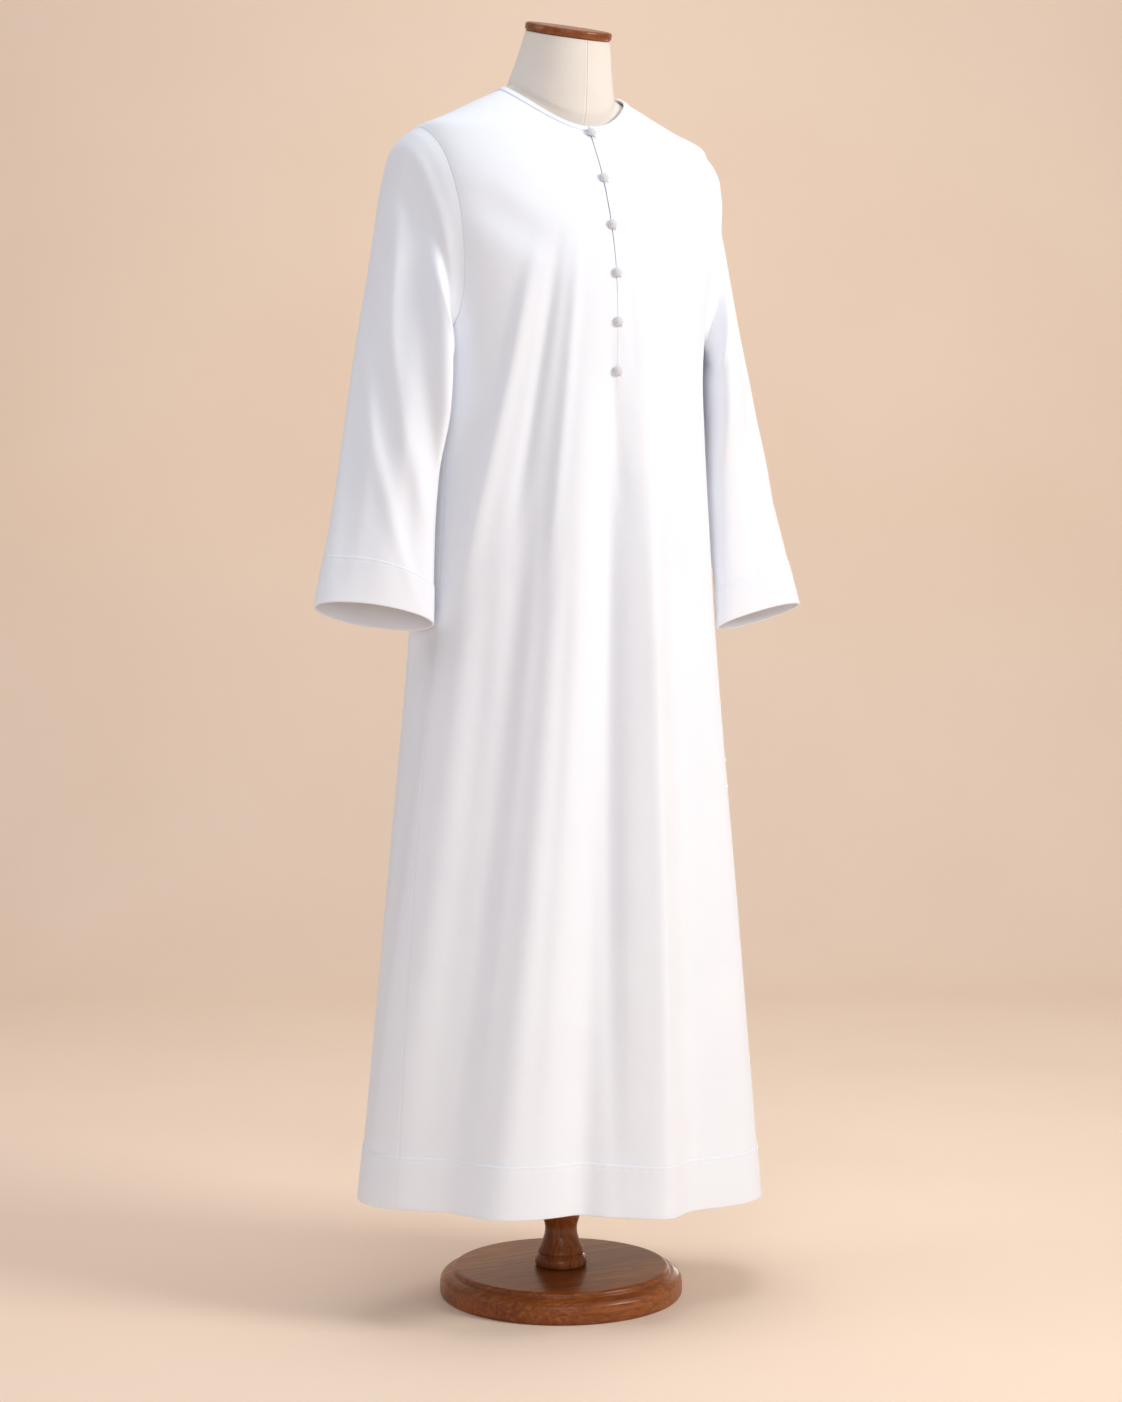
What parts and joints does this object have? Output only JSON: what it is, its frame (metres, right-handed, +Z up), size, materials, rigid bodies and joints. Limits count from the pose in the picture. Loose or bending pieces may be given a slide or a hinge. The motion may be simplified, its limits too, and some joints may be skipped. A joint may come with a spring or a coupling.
{
  "type": "thobe robe on a limbless dress form stand",
  "caption": "Ankle-length plain robe with long straight sleeves and a short buttoned neck slit, worn on a limbless padded dress form on a turned wooden stand.",
  "frame": {"origin": "on the floor, at the centre of the base's flat underside, under the column's axis", "axes": "+Z up along the column, -Y towards the front of the robe, +X towards the wearer's left hand"},
  "size_m": [0.7168, 0.3648, 1.6818],
  "materials": {
    "white_cotton": "matte plain-weave cotton",
    "covered_button": "cotton-covered domed button",
    "cream_linen": "matte linen cover over padding",
    "turned_wood": "turned and varnished, satin gloss"
  },
  "bodies": {
    "root": {"front_panel": "white_cotton", "back_panel": "white_cotton", "sleeve_left": "white_cotton", "sleeve_right": "white_cotton", "neck_binding": "white_cotton", "hem_band_front": "white_cotton", "hem_band_back": "white_cotton", "cuff_band_left": "white_cotton", "cuff_band_right": "white_cotton", "button_1": "covered_button", "button_2": "covered_button", "button_3": "covered_button", "button_4": "covered_button", "button_5": "covered_button", "button_6": "covered_button", "dress_form": "cream_linen", "neck_cap": "turned_wood", "column": "turned_wood", "base": "turned_wood"}
  },
  "joints": []
}
